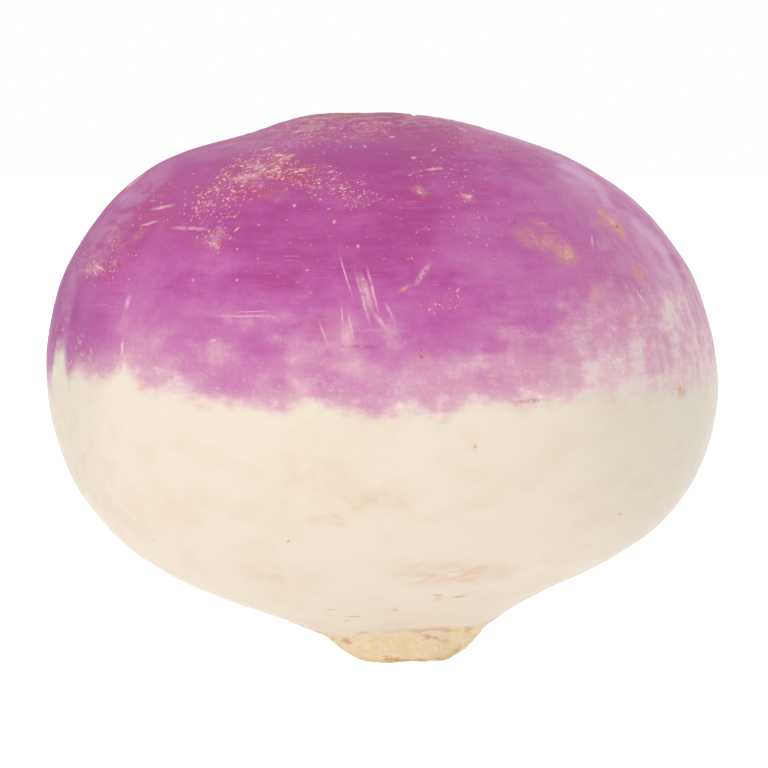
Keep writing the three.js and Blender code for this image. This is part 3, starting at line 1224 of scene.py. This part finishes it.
# Each soft lamp: where it hangs and how wide it is, in mm, its share of the key's power, and
# whether it shows in the skin's sheen.
LAMPS = {
    "key": (Vector((-700, -1200, 700)), 1800, 1.0, True),
    "fill behind": (Vector((200, 1200, 400)), 1200, 0.2, False),
    "right edge": (Vector((640, 1100, 640)), 460, 0.05, True),
}


def make_floor(glow):
    bpy.ops.mesh.primitive_plane_add(size=FLOOR_SIZE * MM, location=(0, 0, 0))
    floor = bpy.context.active_object
    floor.name = "floor"
    nodes = Nodes("white table")
    inputs = {
        "Base Color": FLOOR_SHADE,
        "Roughness": 0.7,
        "Emission Color": WHITE,
        "Emission Strength": glow,
    }
    surface = nodes.add("ShaderNodeBsdfPrincipled", {}, inputs)
    nodes.add("ShaderNodeOutputMaterial", {}, {"Surface": surface})
    floor.data.materials.append(nodes.material)


def make_lights(stage):
    world = bpy.data.worlds.new("studio")
    world.use_nodes = True
    background = world.node_tree.nodes["Background"]
    background.inputs["Color"].default_value = WHITE
    background.inputs["Strength"].default_value = stage.room_light
    bpy.context.scene.world = world
    aim = Vector((0, 0, stage.aim_height))
    for name, (place, size, share, in_sheen) in LAMPS.items():
        turn = (aim - place * MM).to_track_quat("-Z", "Y").to_euler()
        bpy.ops.object.light_add(type="AREA", location=place * MM, rotation=turn)
        lamp = bpy.context.active_object
        lamp.name = name
        lamp.visible_glossy = in_sheen
        lamp.data.size = size * MM
        lamp.data.energy = stage.key_power * share


def make_camera(stage):
    aim = Vector((0, 0, stage.aim_height))
    back = Vector((0, -math.cos(stage.elevation), math.sin(stage.elevation)))
    turn = (-back).to_track_quat("-Z", "Y").to_euler()
    bpy.ops.object.camera_add(location=aim + back * stage.distance, rotation=turn)
    camera = bpy.context.active_object
    camera.name = "camera"
    camera.data.lens = camera.data.sensor_width * stage.distance / stage.view_width
    camera.data.dof.use_dof = False
    bpy.context.scene.camera = camera


class TURNIP_OT_stage(bpy.types.Operator):
    """Add the white table, the soft light and the camera"""

    bl_idname = "turnip.add_stage"
    bl_label = "Studio"

    def execute(self, context):
        stage = context.scene.turnip_stage
        make_floor(stage.table_glow)
        make_lights(stage)
        make_camera(stage)
        context.scene.view_settings.view_transform = "Standard"
        return {"FINISHED"}


# ---- the add-on


class TURNIP_PT_panel(bpy.types.Panel):
    bl_label = "Turnip"
    bl_idname = "TURNIP_PT_panel"
    bl_space_type = "VIEW_3D"
    bl_region_type = "UI"
    bl_category = "Turnip"

    def draw(self, context):
        for operator, settings in (
            (TURNIP_OT_root, context.scene.turnip_shape),
            (None, context.scene.turnip_colours),
            (TURNIP_OT_stage, context.scene.turnip_stage),
        ):
            box = self.layout.box()
            for name in settings.__annotations__:
                box.prop(settings, name)
            if operator:
                box.operator(operator.bl_idname)


CLASSES = (
    TURNIP_PG_shape,
    TURNIP_PG_colours,
    TURNIP_PG_stage,
    TURNIP_OT_root,
    TURNIP_OT_stage,
    TURNIP_PT_panel,
)


def register():
    for kind in CLASSES:
        bpy.utils.register_class(kind)
    bpy.types.Scene.turnip_shape = bpy.props.PointerProperty(type=TURNIP_PG_shape)
    bpy.types.Scene.turnip_colours = bpy.props.PointerProperty(type=TURNIP_PG_colours)
    bpy.types.Scene.turnip_stage = bpy.props.PointerProperty(type=TURNIP_PG_stage)


def unregister():
    del bpy.types.Scene.turnip_stage
    del bpy.types.Scene.turnip_colours
    del bpy.types.Scene.turnip_shape
    for kind in reversed(CLASSES):
        bpy.utils.unregister_class(kind)


def main():
    register()
    bpy.ops.turnip.add_root()
    bpy.ops.turnip.add_stage()


if __name__ == "__main__":
    main()
